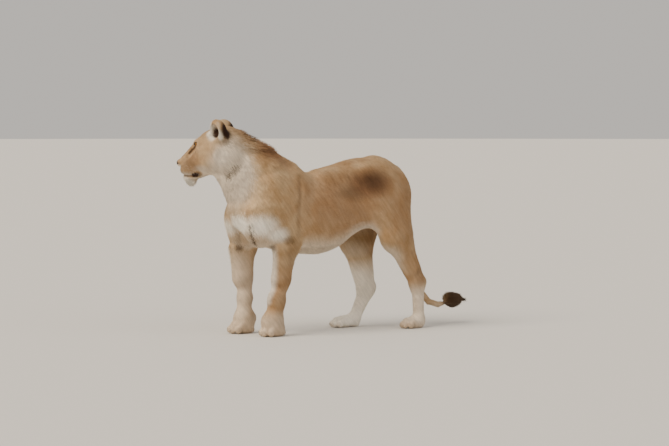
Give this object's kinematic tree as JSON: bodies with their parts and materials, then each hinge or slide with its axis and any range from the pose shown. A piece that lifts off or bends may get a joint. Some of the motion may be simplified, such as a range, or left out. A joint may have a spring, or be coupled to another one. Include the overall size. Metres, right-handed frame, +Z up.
{
  "type": "lioness figure",
  "caption": "Life-size lioness standing still, head turned to her right, tail hanging with a dark tuft at its end.",
  "frame": {"origin": "on the floor under the middle of the whole body's box, tail included", "axes": "+Z up, the lioness faces -Y and her own left side is +X"},
  "size_m": [0.491, 1.8546, 1.2528],
  "materials": {
    "coat_tawny": "short sandy-brown fur",
    "coat_pale": "short pale fur",
    "coat_black": "longer black-brown fur",
    "nose_leather": "moist pebbled skin",
    "eye": "wet, clear over an amber iris"
  },
  "bodies": {
    "root": {"head": "coat_tawny", "nose": "nose_leather", "ear_left": "coat_tawny", "ear_right": "coat_tawny", "eye_left": "eye", "eye_right": "eye", "neck": "coat_tawny", "chest": "coat_tawny", "barrel": "coat_tawny", "hindquarters": "coat_tawny", "upper_arm_left": "coat_tawny", "upper_arm_right": "coat_tawny", "forearm_left": "coat_tawny", "forearm_right": "coat_tawny", "forepaw_left": "coat_pale", "forepaw_right": "coat_pale", "thigh_left": "coat_tawny", "thigh_right": "coat_tawny", "shank_left": "coat_tawny", "shank_right": "coat_tawny", "hindpaw_left": "coat_pale", "hindpaw_right": "coat_pale", "tail_root": "coat_tawny", "tail_middle": "coat_tawny", "tail_end": "coat_tawny", "tail_tuft": "coat_black"}
  },
  "joints": []
}
